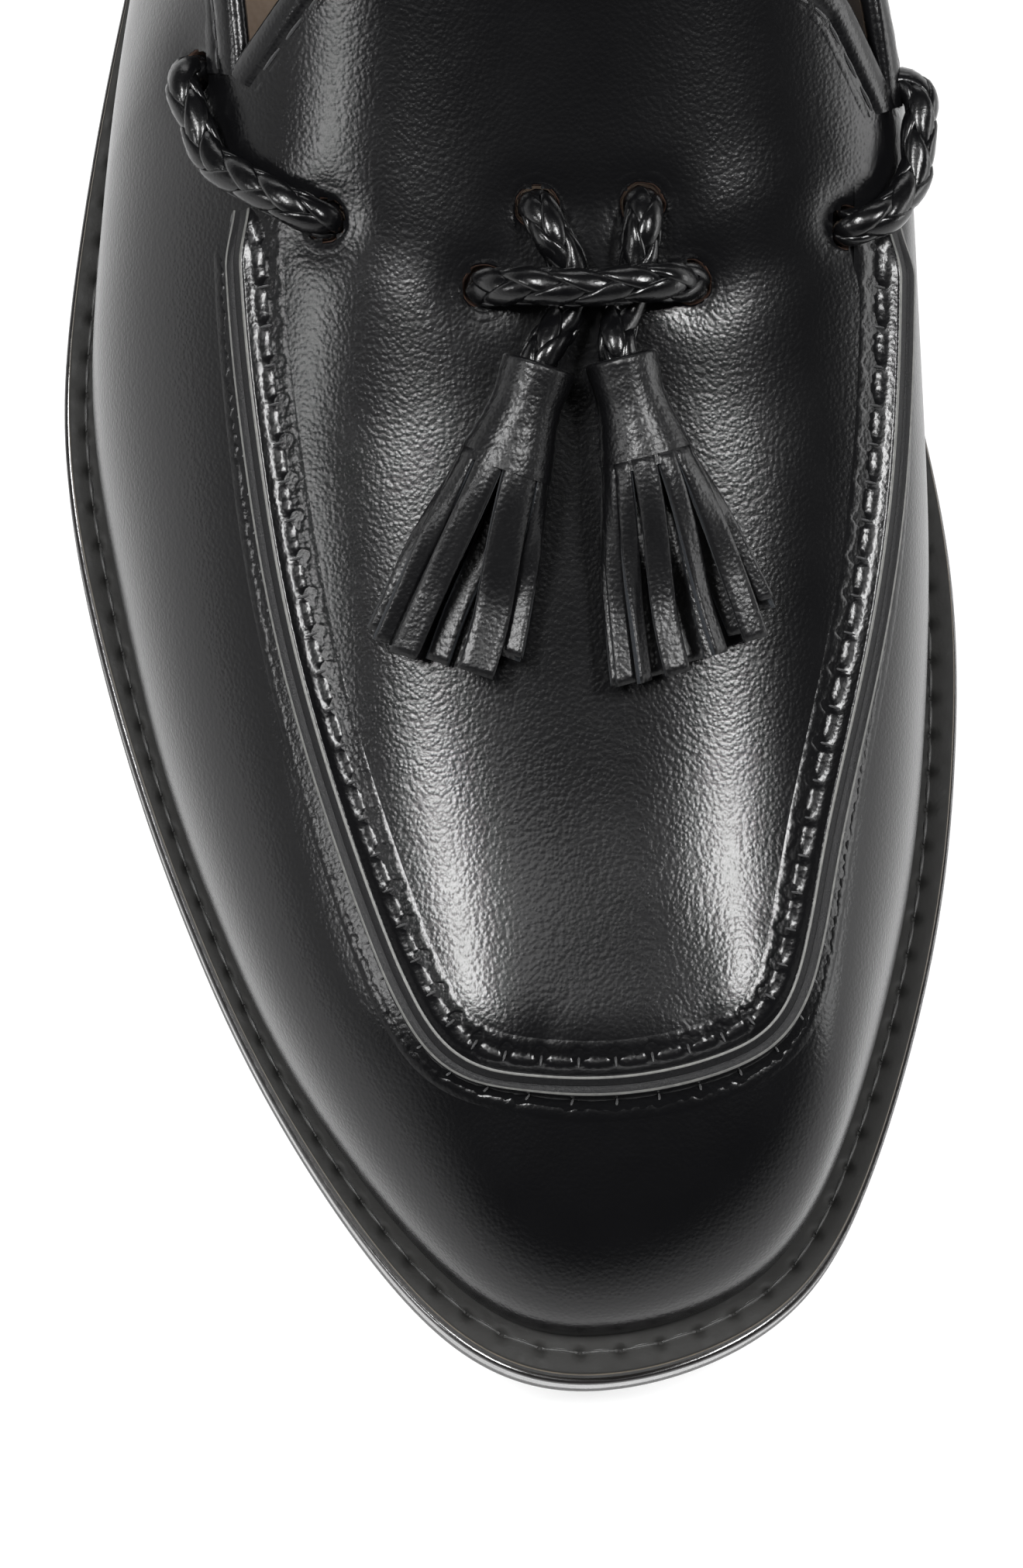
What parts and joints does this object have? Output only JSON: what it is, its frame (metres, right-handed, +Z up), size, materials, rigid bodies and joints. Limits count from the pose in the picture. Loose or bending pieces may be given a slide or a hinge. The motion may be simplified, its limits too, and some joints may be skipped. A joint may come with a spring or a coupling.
{
  "type": "tassel loafer",
  "caption": "Black calf tassel loafer for the right foot, with raised apron seam, plaited side laces, two tassels, welt, leather sole and stacked heel.",
  "frame": {"origin": "point on the ground face of the heel's top piece, on the shoe's centre line, 35 mm in front of the heel's back", "axes": "+Z up, the toe points to -Y, +X is the inner side of the right foot"},
  "size_m": [0.11, 0.3027, 0.0943],
  "materials": {
    "calf": "semi-gloss black calf with a fine pebble grain",
    "lace_leather": "glossy black plaited leather",
    "welt_leather": "matt dark grey, stitched",
    "outsole_leather": "black edge dressing, waxed",
    "insole_leather": "smooth matt lining leather",
    "heel_rubber": "matt black"
  },
  "bodies": {
    "root": {"upper": "calf", "insole": "insole_leather", "welt": "welt_leather", "outsole": "outsole_leather", "heel_stack": "outsole_leather", "heel_top_piece": "heel_rubber", "lace_bar_lateral": "lace_leather", "lace_bar_medial": "lace_leather", "lace_bar_centre": "lace_leather", "strand_lateral": "lace_leather", "strand_medial": "lace_leather", "tassel_lateral": "calf", "tassel_medial": "calf"}
  },
  "joints": []
}
